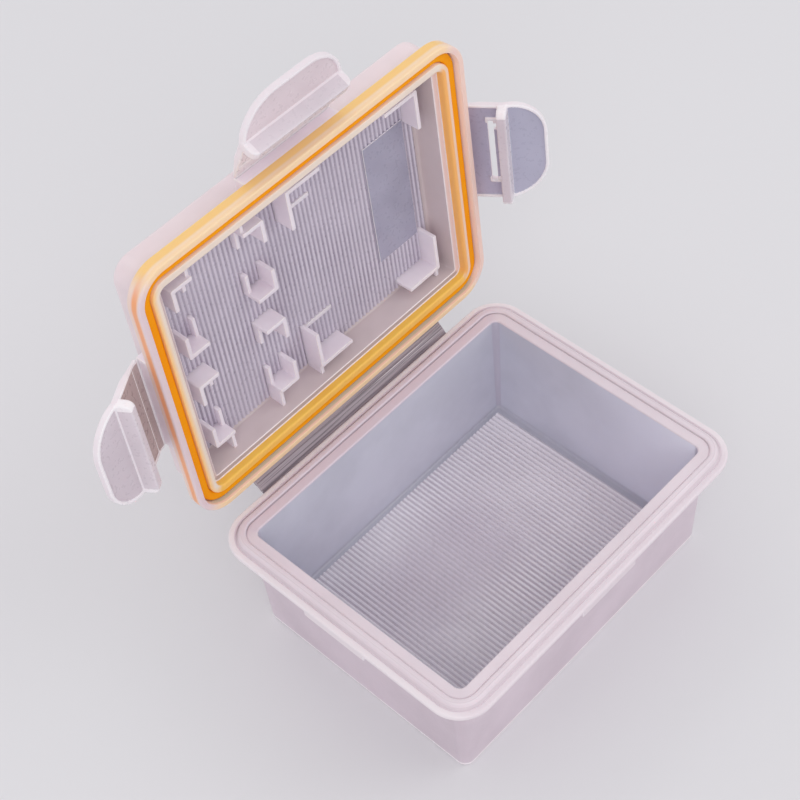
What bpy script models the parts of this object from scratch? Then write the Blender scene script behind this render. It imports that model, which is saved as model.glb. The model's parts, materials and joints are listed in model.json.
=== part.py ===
"""Battery case: a small hinged box of translucent plastic with a seal ring and three snap latches.

Metres, +Z up. X runs along the hinge, +Y is the hinge side, and the origin is the centre of the underside.
Every piece is modelled as it lies with the box shut, and the empties on the hinge axes then open it.
"""
import math

import bmesh
import bpy
from mathutils import Matrix, Vector

MM = 0.001

# Box
OPENING_LENGTH = 52.0 * MM
OPENING_WIDTH = 39.0 * MM
OPENING_CORNER = 1.1 * MM
RIM_HEIGHT = 21.6 * MM
WALL = 1.2 * MM
FLOOR = 1.0 * MM
INNER_DRAFT = 0.4 * MM
OUTER_DRAFT = 0.8 * MM
UNDERSIDE_FILLET = 0.6 * MM
FLOOR_FILLET = 0.4 * MM
RIM_FILLET = 0.25 * MM

# Flange round the box, with the sealing bead and the catches
FLANGE_REACH = 4.3 * MM
FLANGE_THICKNESS = 0.9 * MM
LIP_DROP = 0.4 * MM
LIP_ROUND = 0.25 * MM
LIP_WIDTH = 1.0 * MM
BEAD_OFFSET = 2.2 * MM
BEAD_WIDTH = 1.2 * MM
BEAD_HEIGHT = 0.25 * MM
BEAD_STEPS = 4
CATCH_LENGTH = 11.4 * MM
CATCH_DROP = 1.0 * MM

# Clearances
CLOSED_GAP = 0.3 * MM
SEAT_GAP = 0.3 * MM
RUNNING_GAP = 0.3 * MM
CARD_GAP = 0.3 * MM
CARD_END_GAP = 0.45 * MM
EMBED = 0.3 * MM

# Lid
LID_SETBACK = 0.2 * MM
BAND_HEIGHT = 2.5 * MM
BAND_ROUND = 0.4 * MM
RIM_WALL = 0.6 * MM
RIM_CHAMFER = 0.15 * MM
LID_HEIGHT = 7.65 * MM
LID_TOP_FILLET = 0.7 * MM
BODY_INSET = 2.05 * MM
SEAT_RIB = 1.0 * MM
LEDGE_WIDTH = 1.0 * MM
LEDGE_RISE = 1.7 * MM
PANEL_THICKNESS = 1.5 * MM

# Seal ring
GASKET_WIDTH = 1.3 * MM
GASKET_THICKNESS = 0.95 * MM
GASKET_ROUND = 0.25 * MM

# Fine ribs on the floor and inside the lid, and the smooth pad left among the lid's
RIB_PITCH = 0.79 * MM
RIB_HEIGHT = 0.22 * MM
RIB_MARGIN = 0.5 * MM
PAD_HEIGHT = 0.3 * MM
PAD_LENGTH = 21.8 * MM
PAD_WIDTH = 8.1 * MM
PAD_CENTRE_X = 18.45 * MM

# Card clips inside the lid
SD_LENGTH = 32.0 * MM
SD_WIDTH = 24.0 * MM
SD_CLIP_HEIGHT = 3.4 * MM
SD_LEG_X = 5.8 * MM
SD_LEG_Y = 6.1 * MM
SD_REST_LENGTH = 5.8 * MM
MICRO_LENGTH = 15.0 * MM
MICRO_WIDTH = 11.0 * MM
MICRO_CLIP_HEIGHT = 3.25 * MM
MICRO_LEG = 3.2 * MM
MICRO_ARM = 3.7 * MM
MICRO_REST_HEIGHT = 1.2 * MM
MICRO_PITCH = 18.4 * MM
CARD_COLUMN_GAP = 5.8 * MM
CLIP_WALL = 0.65 * MM
REST_HEIGHT = 0.45 * MM
CARD_GROUP_SHIFT = 0.02 * MM

# Hinge strap between box and lid
STRAP_WIDTH = 39.5 * MM
STRAP_LENGTH = 3.1 * MM
STRAP_THICKNESS = 0.7 * MM
STRAP_BAR_WIDTH = 1.0 * MM
STRAP_BAR_RISE = 0.25 * MM
STRAP_AXIS_OUT = 0.8 * MM
STRAP_AXIS_DROP = 0.75 * MM
HINGE_BEAD_RADIUS = 0.3 * MM

# Latches
LATCH_WIDTH = 17.4 * MM
LATCH_AXIS_OUT = 0.6 * MM
LATCH_AXIS_RISE = 4.0 * MM
LATCH_THICKNESS = 0.7 * MM
LATCH_BORDER = 1.0 * MM
LATCH_BORDER_HEIGHT = 0.3 * MM
LATCH_ROOT_TAPER = 3.0 * MM
HOOK_THICKNESS = 1.4 * MM
HOOK_REACH = 2.2 * MM
HOOK_OVERHANG = 0.1 * MM
TAB_LENGTH = 6.3 * MM
TAB_CORNER = 5.9 * MM
TAB_BEND = math.radians(18.0)
SLOT_LENGTH = 11.2 * MM
SLOT_WIDTH = 0.9 * MM
SLOT_SPACING = 1.95 * MM
SLOT_SHIFT = 0.4 * MM
NOTCH_LENGTH = 1.2 * MM
BOSS_RISE = 0.3 * MM

# Angles at which the pieces stand open, from the shut box
LID_OPEN = math.radians(93.5)
LATCH_RIGHT_OPEN = math.radians(33.0)
LATCH_LEFT_OPEN = math.radians(58.0)
LATCH_FRONT_OPEN = math.radians(61.0)

CORNER_STEPS = 5
SMALLEST_CORNER = 0.15 * MM
SHARP_ANGLE = math.radians(35.0)
AXIS_MARK_SIZE = 5.0 * MM

# Sizes that follow from the ones above
OPENING_HALF_X = OPENING_LENGTH / 2
OPENING_HALF_Y = OPENING_WIDTH / 2
LIP_TOP = RIM_HEIGHT - LIP_DROP
FLANGE_UNDERSIDE = LIP_TOP - FLANGE_THICKNESS
CATCH_UNDERSIDE = FLANGE_UNDERSIDE - CATCH_DROP
BEAD_TOP = RIM_HEIGHT + BEAD_HEIGHT
LID_EDGE = FLANGE_REACH - LID_SETBACK
LID_HALF_X = OPENING_HALF_X + LID_EDGE
LID_HALF_Y = OPENING_HALF_Y + LID_EDGE
MATING_HEIGHT = LIP_TOP + CLOSED_GAP
LID_RIM_EDGE = RIM_HEIGHT + CLOSED_GAP
BAND_TOP = MATING_HEIGHT + BAND_HEIGHT
LID_TOP = MATING_HEIGHT + LID_HEIGHT
GASKET_FACE = BEAD_TOP + CLOSED_GAP
GROOVE_TOP = GASKET_FACE + GASKET_THICKNESS + SEAT_GAP
SEAT_RIB_OUTER = BEAD_OFFSET - GASKET_WIDTH / 2 - SEAT_GAP
SEAT_RIB_INNER = SEAT_RIB_OUTER - SEAT_RIB
LID_CAVITY_EDGE = SEAT_RIB_INNER - LEDGE_WIDTH
PANEL_HEIGHT = LID_TOP - PANEL_THICKNESS
STRAP_AXIS_Y = LID_HALF_Y + STRAP_AXIS_OUT
BASE_AXIS_Z = LIP_TOP - STRAP_AXIS_DROP
LID_AXIS_Z = BASE_AXIS_Z + STRAP_LENGTH
LATCH_AXIS_Z = MATING_HEIGHT + LATCH_AXIS_RISE
HOOK_DISTANCE = LATCH_AXIS_Z - CATCH_UNDERSIDE + CLOSED_GAP + HOOK_THICKNESS / 2
LATCH_FACE = LID_SETBACK + CLOSED_GAP - LATCH_AXIS_OUT
SD_CENTRE_X = CARD_GROUP_SHIFT + (CARD_COLUMN_GAP + MICRO_LENGTH) / 2
MICRO_CENTRE_X = CARD_GROUP_SHIFT - (CARD_COLUMN_GAP + SD_WIDTH) / 2


def clear_scene():
    for thing in list(bpy.data.objects):
        bpy.data.objects.remove(thing)


def new_collection(name):
    group = bpy.data.collections.new(name)
    bpy.context.scene.collection.children.link(group)
    return group


def plastic(name, colour, roughness, transmission=0.0):
    material = bpy.data.materials.new(name)
    material.use_nodes = True
    shader = material.node_tree.nodes["Principled BSDF"]
    shader.inputs["Base Color"].default_value = (*colour, 1.0)
    shader.inputs["Roughness"].default_value = roughness
    shader.inputs["Metallic"].default_value = 0.0
    shader.inputs["Transmission Weight"].default_value = transmission
    material.diffuse_color = (*colour, 1.0)
    return material


def finish_object(name, bm, group, material=None):
    """Turn a bmesh into a named object with outward faces."""
    bmesh.ops.recalc_face_normals(bm, faces=bm.faces)
    mesh = bpy.data.meshes.new(name)
    bm.to_mesh(mesh)
    bm.free()
    thing = bpy.data.objects.new(name, mesh)
    group.objects.link(thing)
    if material:
        mesh.materials.append(material)
        mesh.shade_smooth()
        mesh.set_sharp_from_angle(angle=SHARP_ANGLE)
    return thing


def hang(thing, axis, home=Vector()):
    """Parent to an axis empty; home is where that axis lies in the piece's own coordinates."""
    thing.parent = axis
    thing.location = -home


def axis_empty(name, group, location, tilt=0.0, yaw=0.0, parent=None):
    empty = bpy.data.objects.new(name, None)
    group.objects.link(empty)
    empty.empty_display_size = AXIS_MARK_SIZE
    empty.location = location
    empty.rotation_euler = (tilt, 0.0, yaw)
    empty.parent = parent
    return empty


def arc(centre_a, centre_b, radius, start, end, steps=3):
    """Points on a round corner of a section, angles in degrees."""
    angles = [math.radians(start + (end - start) * k / steps) for k in range(steps + 1)]
    return [(centre_a + radius * math.cos(a), centre_b + radius * math.sin(a)) for a in angles]


def outline_ring(outset, height):
    """Rounded rectangle at a distance outside the box's opening, with corners concentric to it."""
    radius = max(OPENING_CORNER + outset, SMALLEST_CORNER)
    points = []
    for quarter, (side_x, side_y) in enumerate(((1, 1), (-1, 1), (-1, -1), (1, -1))):
        centre_x = side_x * (OPENING_HALF_X + outset - radius)
        centre_y = side_y * (OPENING_HALF_Y + outset - radius)
        for step in range(CORNER_STEPS + 1):
            angle = math.radians(90.0) * (quarter + step / CORNER_STEPS)
            points.append((centre_x + radius * math.cos(angle), centre_y + radius * math.sin(angle), height))
    return points


def loft_section(name, section, group, material=None, closed=False):
    """Carry a section of (outset, height) points round the opening's outline."""
    bm = bmesh.new()
    rings = [[bm.verts.new(p) for p in outline_ring(*point)] for point in section]
    pairs = list(zip(rings, rings[1:]))
    if closed:
        pairs.append((rings[-1], rings[0]))
    for ring_a, ring_b in pairs:
        count = len(ring_a)
        for k in range(count):
            bm.faces.new((ring_a[k], ring_a[(k + 1) % count], ring_b[(k + 1) % count], ring_b[k]))
    if not closed:
        bm.faces.new(rings[0])
        bm.faces.new(rings[-1])
    return finish_object(name, bm, group, material)


def box_mesh(low, high):
    bm = bmesh.new()
    bmesh.ops.create_cube(bm, size=1.0)
    low, high = Vector(low), Vector(high)
    bmesh.ops.scale(bm, vec=high - low, verts=bm.verts)
    bmesh.ops.translate(bm, vec=(low + high) / 2, verts=bm.verts)
    return bm


def turned_box(low, high, turn):
    """Box given as it lies at the front of the case, turned about Z to another side."""
    bm = box_mesh(low, high)
    bmesh.ops.rotate(bm, cent=(0, 0, 0), matrix=Matrix.Rotation(math.radians(turn), 3, "Z"), verts=bm.verts)
    return bm


def extrude_outline(bm, outline, lift):
    """Extrude a flat outline of 3-D points along a vector."""
    face = bm.faces.new([bm.verts.new(p) for p in outline])
    grown = bmesh.ops.extrude_face_region(bm, geom=[face])["geom"]
    bmesh.ops.translate(bm, vec=lift, verts=[v for v in grown if isinstance(v, bmesh.types.BMVert)])


def combine(thing, tools, operation):
    """Join or cut with each tool by a Boolean that stays on the object."""
    for tool in tools:
        tool.hide_render = True
        tool.display_type = "WIRE"
        tool.parent = thing.parent
        tool.location = thing.location
        modifier = thing.modifiers.new(f"{operation.lower()} {tool.name}", "BOOLEAN")
        modifier.operation = operation
        modifier.solver = "EXACT"
        modifier.object = tool


def ribbed_mat(name, half_x, half_y, level, direction, group):
    """Flat mat with a row of fine ribs along Y, sunk into the surface that carries it."""
    count = int(2 * half_x / RIB_PITCH)
    start = -count * RIB_PITCH / 2
    back = level - direction * EMBED
    outline = [(start, -half_y, back)]
    for k in range(count):
        outline.append((start + k * RIB_PITCH, -half_y, level))
        outline.append((start + (k + 0.5) * RIB_PITCH, -half_y, level + direction * RIB_HEIGHT))
    outline += [(-start, -half_y, level), (-start, -half_y, back)]
    bm = bmesh.new()
    extrude_outline(bm, outline, (0.0, 2 * half_y, 0.0))
    return finish_object(name, bm, group)


def box_section():
    """Section of the box, from under its floor, up the outside, over the flange and down to the floor."""
    foot = WALL - OUTER_DRAFT
    bead_start = BEAD_OFFSET - BEAD_WIDTH / 2
    bead_end = BEAD_OFFSET + BEAD_WIDTH / 2
    lip_inner = FLANGE_REACH - LIP_WIDTH
    section = arc(foot - UNDERSIDE_FILLET, UNDERSIDE_FILLET, UNDERSIDE_FILLET, -90, 0)
    section.append((WALL, FLANGE_UNDERSIDE))
    section += arc(FLANGE_REACH - LIP_ROUND, FLANGE_UNDERSIDE + LIP_ROUND, LIP_ROUND, -90, 0, 2)
    section += arc(FLANGE_REACH - LIP_ROUND, LIP_TOP - LIP_ROUND, LIP_ROUND, 0, 90, 2)
    section.append((lip_inner, LIP_TOP))
    section.append((bead_end, RIM_HEIGHT - LIP_DROP / 2))
    for k in range(BEAD_STEPS + 1):
        turn = math.radians(180.0 * k / BEAD_STEPS)
        across = BEAD_OFFSET + BEAD_WIDTH / 2 * math.cos(turn)
        section.append((across, RIM_HEIGHT + BEAD_HEIGHT * math.sin(turn)))
    section.append((bead_start - RIM_FILLET, RIM_HEIGHT))
    section += arc(RIM_FILLET, RIM_HEIGHT - RIM_FILLET, RIM_FILLET, 90, 180, 2)
    floor_edge = -INNER_DRAFT - FLOOR_FILLET
    section += [(floor_edge + x, z) for x, z in arc(0, FLOOR + FLOOR_FILLET, FLOOR_FILLET, 0, -90)]
    return section


def build_base(group, cutters, material):
    base = loft_section("base_shell", box_section(), group, material)
    floor_x = OPENING_HALF_X - INNER_DRAFT - FLOOR_FILLET - RIB_MARGIN
    floor_y = OPENING_HALF_Y - INNER_DRAFT - FLOOR_FILLET - RIB_MARGIN
    tools = [ribbed_mat("floor ribs", floor_x, floor_y, FLOOR, 1, cutters)]
    for name, half, turn in (
        ("catch front", OPENING_HALF_Y, 0.0),
        ("catch right", OPENING_HALF_X, 90.0),
        ("catch left", OPENING_HALF_X, -90.0),
    ):
        low = (-CATCH_LENGTH / 2, -half - FLANGE_REACH, CATCH_UNDERSIDE)
        high = (CATCH_LENGTH / 2, -half - WALL / 2, FLANGE_UNDERSIDE + FLANGE_THICKNESS / 2)
        tools.append(finish_object(name, turned_box(low, high, turn), cutters))
    combine(base, tools, "UNION")
    return base


def lid_section():
    """Section of the lid, from its panel's inside, out over the seal groove and rim, and up to its top.

    The outer rim ends level with the seat rib, just above the box's sealing bead when shut.
    """
    rim_inner = LID_EDGE - RIM_WALL
    section = [(LID_CAVITY_EDGE, PANEL_HEIGHT)]
    section.append((LID_CAVITY_EDGE, MATING_HEIGHT + LEDGE_RISE))
    section.append((SEAT_RIB_INNER, MATING_HEIGHT + LEDGE_RISE))
    section.append((SEAT_RIB_INNER, LID_RIM_EDGE))
    section.append((SEAT_RIB_OUTER, LID_RIM_EDGE))
    section.append((SEAT_RIB_OUTER, GROOVE_TOP))
    section.append((rim_inner, GROOVE_TOP))
    section.append((rim_inner, LID_RIM_EDGE))
    section.append((LID_EDGE - RIM_CHAMFER, LID_RIM_EDGE))
    section.append((LID_EDGE, LID_RIM_EDGE + RIM_CHAMFER))
    section += arc(LID_EDGE - BAND_ROUND, BAND_TOP - BAND_ROUND, BAND_ROUND, 0, 90, 2)
    body_edge = LID_EDGE - BODY_INSET
    section.append((body_edge, BAND_TOP))
    section += arc(body_edge - LID_TOP_FILLET, LID_TOP - LID_TOP_FILLET, LID_TOP_FILLET, 0, 90)
    return section


def corner_clip(bm, corner, sides, leg_x, leg_y, lift):
    """L-shaped card clip; corner is its inside corner, sides point from there into the pocket."""
    shape = (
        (-CLIP_WALL, -CLIP_WALL), (leg_x, -CLIP_WALL), (leg_x, 0.0),
        (0.0, 0.0), (0.0, leg_y), (-CLIP_WALL, leg_y),
    )
    outline = [(corner[0] + sides[0] * x, corner[1] + sides[1] * y, PANEL_HEIGHT + EMBED) for x, y in shape]
    extrude_outline(bm, outline, (0.0, 0.0, -EMBED - lift))


def plain_rib(bm, low, high, drop):
    """Straight rib standing on the lid's panel."""
    outline = [(low[0], low[1]), (high[0], low[1]), (high[0], high[1]), (low[0], high[1])]
    extrude_outline(bm, [(x, y, PANEL_HEIGHT + EMBED) for x, y in outline], (0.0, 0.0, -EMBED - drop))


def card_clips(cutters):
    """Tall clips, then the low rests and the gussets that tie the outer clips to the cavity wall."""
    sd_x = SD_WIDTH / 2 + CARD_GAP / 2
    sd_y = SD_LENGTH / 2 + CARD_END_GAP
    micro_x = MICRO_LENGTH / 2 + CARD_GAP / 2
    micro_y = MICRO_WIDTH / 2 + CARD_GAP
    wall_y = OPENING_HALF_Y + LID_CAVITY_EDGE + EMBED
    tall = bmesh.new()
    gusset = bmesh.new()
    low = bmesh.new()
    for side_x in (-1, 1):
        for side_y in (-1, 1):
            corner = (SD_CENTRE_X + side_x * sd_x, side_y * sd_y)
            corner_clip(tall, corner, (-side_x, -side_y), SD_LEG_X, SD_LEG_Y, SD_CLIP_HEIGHT)
            ends = sorted((corner[0], corner[0] + side_x * CLIP_WALL))
            reach = sorted((side_y * (sd_y + CLIP_WALL / 2), side_y * wall_y))
            plain_rib(gusset, (ends[0], reach[0]), (ends[1], reach[1]), SD_CLIP_HEIGHT - REST_HEIGHT)
            for row in (-1, 1):
                inner = (MICRO_CENTRE_X + side_x * micro_x, row * MICRO_PITCH / 2 + side_y * micro_y)
                arm = MICRO_ARM - CLIP_WALL
                corner_clip(tall, inner, (-side_x, -side_y), arm, MICRO_LEG, MICRO_CLIP_HEIGHT)
                far = inner[0] - side_x * arm
                ends = sorted((far, far + side_x * CLIP_WALL))
                reach = sorted((inner[1] + side_y * CLIP_WALL / 2, inner[1] - side_y * MICRO_LEG))
                plain_rib(low, (ends[0], reach[0]), (ends[1], reach[1]), MICRO_REST_HEIGHT)
                if row == side_y:
                    reach = sorted((side_y * wall_y, inner[1] + side_y * CLIP_WALL / 2))
                    drop = MICRO_CLIP_HEIGHT - REST_HEIGHT
                    plain_rib(gusset, (ends[0], reach[0]), (ends[1], reach[1]), drop)
    for row in (-1, 1):
        start = SD_CENTRE_X - sd_x - CLIP_WALL / 2
        end = start + SD_REST_LENGTH
        middle = row * (sd_y - SD_LEG_Y + CLIP_WALL)
        plain_rib(low, (start, middle - CLIP_WALL / 2), (end, middle + CLIP_WALL / 2), REST_HEIGHT)
    return [
        finish_object("tall clips", tall, cutters),
        finish_object("clip gussets", gusset, cutters),
        finish_object("card rests", low, cutters),
    ]


def latch_bosses(cutters):
    """Blocks on the lid's sides, level with its rim, that the latches hang from."""
    blocks = []
    for name, half, turn in (
        ("boss front", LID_HALF_Y, 0.0),
        ("boss right", LID_HALF_X, 90.0),
        ("boss left", LID_HALF_X, -90.0),
    ):
        face = -half - LATCH_AXIS_OUT + HINGE_BEAD_RADIUS + RUNNING_GAP
        low = (-LATCH_WIDTH / 2, face, BAND_TOP - BAND_ROUND)
        high = (LATCH_WIDTH / 2, -half + BODY_INSET + EMBED, LATCH_AXIS_Z + BOSS_RISE)
        blocks.append(finish_object(name, turned_box(low, high, turn), cutters))
    return blocks


def build_lid(group, cutters, material, axis, home):
    lid = loft_section("lid_shell", lid_section(), group, material)
    hang(lid, axis, home)
    mat_x = OPENING_HALF_X + LID_CAVITY_EDGE - RIB_MARGIN
    mat_y = OPENING_HALF_Y + LID_CAVITY_EDGE - RIB_MARGIN
    pad_low = (PAD_CENTRE_X - PAD_WIDTH / 2, -PAD_LENGTH / 2, PANEL_HEIGHT - PAD_HEIGHT)
    pad_high = (PAD_CENTRE_X + PAD_WIDTH / 2, PAD_LENGTH / 2, PANEL_HEIGHT + EMBED)
    pad = finish_object("smooth pad", box_mesh(pad_low, pad_high), cutters)
    mat = ribbed_mat("lid ribs", mat_x, mat_y, PANEL_HEIGHT, -1, cutters)
    combine(lid, [mat, pad] + card_clips(cutters) + latch_bosses(cutters), "UNION")
    return lid


def build_gasket(group, material, axis, home):
    """Ring in the lid's groove, resting against the seat rib."""
    inner = BEAD_OFFSET - GASKET_WIDTH / 2
    outer = BEAD_OFFSET + GASKET_WIDTH / 2
    top = GASKET_FACE + GASKET_THICKNESS
    section = arc(inner + GASKET_ROUND, GASKET_FACE + GASKET_ROUND, GASKET_ROUND, 180, 270, 2)
    section += arc(outer - GASKET_ROUND, GASKET_FACE + GASKET_ROUND, GASKET_ROUND, 270, 360, 2)
    section += [(outer, top), (inner, top)]
    gasket = loft_section("seal_gasket", section, group, material, closed=True)
    hang(gasket, axis, home)
    return gasket


def build_strap(group, material, axis):
    """Strip between the two hinge films, standing up from the lower one when the box is shut."""
    half = STRAP_THICKNESS / 2
    bar = STRAP_BAR_WIDTH / 2
    middle = STRAP_LENGTH / 2
    neck = HINGE_BEAD_RADIUS
    section = arc(0.0, 0.0, neck, 180, 360, 6)
    section += [(half, half + neck), (half, middle - bar), (half + STRAP_BAR_RISE, middle - bar / 2)]
    section += [(half + STRAP_BAR_RISE, middle + bar / 2), (half, middle + bar)]
    section += [(half, STRAP_LENGTH - half - neck)]
    section += arc(0.0, STRAP_LENGTH, neck, 0, 180, 6)
    section += [(-half, STRAP_LENGTH - half - neck), (-half, half + neck)]
    bm = bmesh.new()
    extrude_outline(bm, [(-STRAP_WIDTH / 2, y, z) for y, z in section], (STRAP_WIDTH, 0.0, 0.0))
    strap = finish_object("hinge_strap", bm, group, material)
    hang(strap, axis)
    return strap


def is_along(edge, axis):
    """Whether a straight edge runs along the X, Y or Z axis, given as 0, 1 or 2."""
    run = edge.verts[1].co - edge.verts[0].co
    return abs(run[axis]) > 0.9 * run.length


def tab_block(inset, near, far):
    """Rounded tab between two depths, bent outwards at the hook."""
    half = LATCH_WIDTH / 2 - inset
    bm = box_mesh((-half, -far, -TAB_LENGTH + inset), (half, -near, EMBED))
    end = -TAB_LENGTH + inset + EMBED
    corners = [e for e in bm.edges if e.verts[0].co.z < end and e.verts[1].co.z < end and is_along(e, 1)]
    radius = TAB_CORNER - inset
    bmesh.ops.bevel(
        bm, geom=corners, offset=radius, segments=5, profile=0.5, affect="EDGES", clamp_overlap=True
    )
    bmesh.ops.rotate(bm, cent=(0, -LATCH_FACE, 0), matrix=Matrix.Rotation(-TAB_BEND, 3, "X"), verts=bm.verts)
    bmesh.ops.translate(bm, vec=(0, 0, -HOOK_DISTANCE), verts=bm.verts)
    return bm


def build_latch(name, group, cutters, material, axis):
    """Latch as it hangs shut: X along its hinge, -Y outwards, its tab below and the slot's notch near -X."""
    half = LATCH_WIDTH / 2
    face = LATCH_FACE
    plate_face = face + LATCH_BORDER_HEIGHT
    back = plate_face + LATCH_THICKNESS
    top = -HINGE_BEAD_RADIUS - RUNNING_GAP
    side = arc(0.0, 0.0, HINGE_BEAD_RADIUS, 0, 180, 6)
    side += [(-HINGE_BEAD_RADIUS, top), (-back, top - LATCH_ROOT_TAPER), (-back, -HOOK_DISTANCE)]
    side += [(-face, -HOOK_DISTANCE), (-face, top)]
    panel = bmesh.new()
    extrude_outline(panel, [(-half, y, z) for y, z in side], (LATCH_WIDTH, 0.0, 0.0))
    latch = finish_object(name, panel, group, material)
    hang(latch, axis)
    combine(latch, [finish_object(f"{name} tab", tab_block(0.0, face, back), cutters)], "UNION")
    hook_x = half + HOOK_OVERHANG
    hook = box_mesh(
        (-hook_x, -plate_face - EMBED, -HOOK_DISTANCE - HOOK_THICKNESS / 2),
        (hook_x, -plate_face + HOOK_REACH, -HOOK_DISTANCE + HOOK_THICKNESS / 2),
    )
    ends = [e for e in hook.edges if is_along(e, 2) and e.verts[0].co.y > -plate_face]
    bmesh.ops.bevel(hook, geom=ends, offset=HOOK_REACH / 2, segments=3, profile=0.5, affect="EDGES")
    pocket_x = half - LATCH_BORDER
    pocket = box_mesh((-pocket_x, -plate_face, -HOOK_DISTANCE), (pocket_x, -face + EMBED, top - LATCH_BORDER))
    slot_level = -HOOK_DISTANCE + SLOT_SPACING
    slot_start = -SLOT_SHIFT - SLOT_LENGTH / 2
    slot = box_mesh(
        (slot_start, -back - EMBED, slot_level - SLOT_WIDTH / 2),
        (slot_start + SLOT_LENGTH, -plate_face + EMBED, slot_level + SLOT_WIDTH / 2),
    )
    notch_start = slot_start + NOTCH_LENGTH / 2
    notch = box_mesh(
        (notch_start, -back - EMBED, slot_level - SLOT_WIDTH),
        (notch_start + NOTCH_LENGTH, -plate_face + EMBED, slot_level),
    )
    recess = tab_block(LATCH_BORDER, face - EMBED, plate_face)
    cuts = [
        finish_object(f"{name} panel pocket", pocket, cutters),
        finish_object(f"{name} tab pocket", recess, cutters),
        finish_object(f"{name} slot", slot, cutters),
        finish_object(f"{name} notch", notch, cutters),
    ]
    combine(latch, cuts, "DIFFERENCE")
    combine(latch, [finish_object(f"{name} hook", hook, cutters)], "UNION")
    return latch


def main():
    clear_scene()
    case = new_collection("battery_case")
    cutters = new_collection("cutters")
    shell_plastic = plastic("translucent plastic", (0.80, 0.76, 0.80), 0.35, 0.5)
    strap_plastic = plastic("clear strap plastic", (0.72, 0.68, 0.70), 0.3, 0.6)
    seal_rubber = plastic("orange seal rubber", (0.87, 0.33, 0.02), 0.5)

    base_axis = axis_empty("hinge_base_axis", case, (0.0, STRAP_AXIS_Y, BASE_AXIS_Z), -LID_OPEN / 2)
    lid_axis = axis_empty("hinge_lid_axis", case, (0.0, 0.0, STRAP_LENGTH), -LID_OPEN / 2, parent=base_axis)
    home = Vector((0.0, STRAP_AXIS_Y, LID_AXIS_Z))

    build_base(case, cutters, shell_plastic)
    build_strap(case, strap_plastic, base_axis)
    build_lid(case, cutters, shell_plastic, lid_axis, home)
    build_gasket(case, seal_rubber, lid_axis, home)
    side = LID_HALF_X + LATCH_AXIS_OUT
    front = LID_HALF_Y + LATCH_AXIS_OUT
    for name, place, yaw, opened in (
        ("latch_front", (0.0, -front), 0.0, LATCH_FRONT_OPEN),
        ("latch_right", (side, 0.0), 90.0, LATCH_RIGHT_OPEN),
        ("latch_left", (-side, 0.0), -90.0, LATCH_LEFT_OPEN),
    ):
        place = Vector((*place, LATCH_AXIS_Z)) - home
        axis = axis_empty(f"{name}_axis", case, place, -opened, math.radians(yaw), lid_axis)
        build_latch(name, case, cutters, shell_plastic, axis)


main()
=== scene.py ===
"""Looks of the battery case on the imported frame: milky shells, seal ring, film hinges and latches."""
import json
import math

import bmesh
import bpy
from mathutils import Matrix, Vector


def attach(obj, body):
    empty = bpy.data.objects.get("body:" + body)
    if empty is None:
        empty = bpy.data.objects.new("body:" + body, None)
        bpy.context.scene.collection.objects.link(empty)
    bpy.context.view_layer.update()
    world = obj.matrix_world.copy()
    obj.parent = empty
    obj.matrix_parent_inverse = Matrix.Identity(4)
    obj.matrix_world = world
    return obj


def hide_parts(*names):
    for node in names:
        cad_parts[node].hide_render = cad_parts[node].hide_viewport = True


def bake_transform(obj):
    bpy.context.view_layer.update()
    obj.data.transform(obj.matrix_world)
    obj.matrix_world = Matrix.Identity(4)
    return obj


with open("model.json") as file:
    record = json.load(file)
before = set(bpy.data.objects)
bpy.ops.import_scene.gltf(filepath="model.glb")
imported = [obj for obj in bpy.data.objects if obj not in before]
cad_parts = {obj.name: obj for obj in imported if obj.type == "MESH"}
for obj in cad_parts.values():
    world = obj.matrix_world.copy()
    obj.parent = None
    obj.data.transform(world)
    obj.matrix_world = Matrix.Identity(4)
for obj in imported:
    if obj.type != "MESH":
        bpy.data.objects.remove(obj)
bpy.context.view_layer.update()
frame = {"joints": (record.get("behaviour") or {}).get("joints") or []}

MM = 0.001

# Box
OPENING_HALF_X = 26.0 * MM
OPENING_HALF_Y = 19.5 * MM
OPENING_CORNER = 1.1 * MM
RIM_HEIGHT = 21.6 * MM
WALL = 1.2 * MM
FLOOR = 1.0 * MM
INNER_DRAFT = 0.4 * MM
OUTER_DRAFT = 0.8 * MM
FLOOR_FILLET = 0.4 * MM

# Flange
FLANGE_REACH = 4.3 * MM
LIP_DROP = 0.4 * MM
LIP_TOP = RIM_HEIGHT - LIP_DROP
FLANGE_UNDERSIDE = LIP_TOP - 0.9 * MM
LIP_WIDTH = 1.0 * MM
BEAD_OFFSET = 2.2 * MM
BEAD_WIDTH = 1.2 * MM
BEAD_HEIGHT = 0.25 * MM
BEAD_TOP = RIM_HEIGHT + BEAD_HEIGHT
LINE_DEPTH = 0.12 * MM
CATCH_LENGTH = 11.4 * MM
CATCH_UNDERSIDE = FLANGE_UNDERSIDE - 1.0 * MM

# Edges of the box's section
FOOT_RADIUS = 0.6 * MM
FLANGE_FILLET = 0.35 * MM
FLANGE_LOWER_RADIUS = 0.3 * MM
LIP_RADIUS = 0.35 * MM
LIP_INNER_RADIUS = 0.12 * MM
BEAD_RADIUS = 0.3 * MM
BEAD_SLOPE = 0.2 * MM
BEAD_OUTER_FILLET = 0.08 * MM
BEAD_INNER_FILLET = 0.06 * MM
LINE_WIDTH = 0.1 * MM
LINE_SLOPE = 0.12 * MM
LINE_RADIUS = 0.05 * MM
LINE_EDGE_RADIUS = 0.1 * MM
OPENING_RADIUS = 0.25 * MM
CATCH_RADIUS = 0.2 * MM
CATCH_EMBED = 0.45 * MM

# How far the last face of a shell's section runs in before it is closed
CLOSING_WIDTH = 1.2 * MM

# Clearances
GAP = 0.3 * MM
EMBED = 0.3 * MM
SHY = 0.03 * MM

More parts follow.
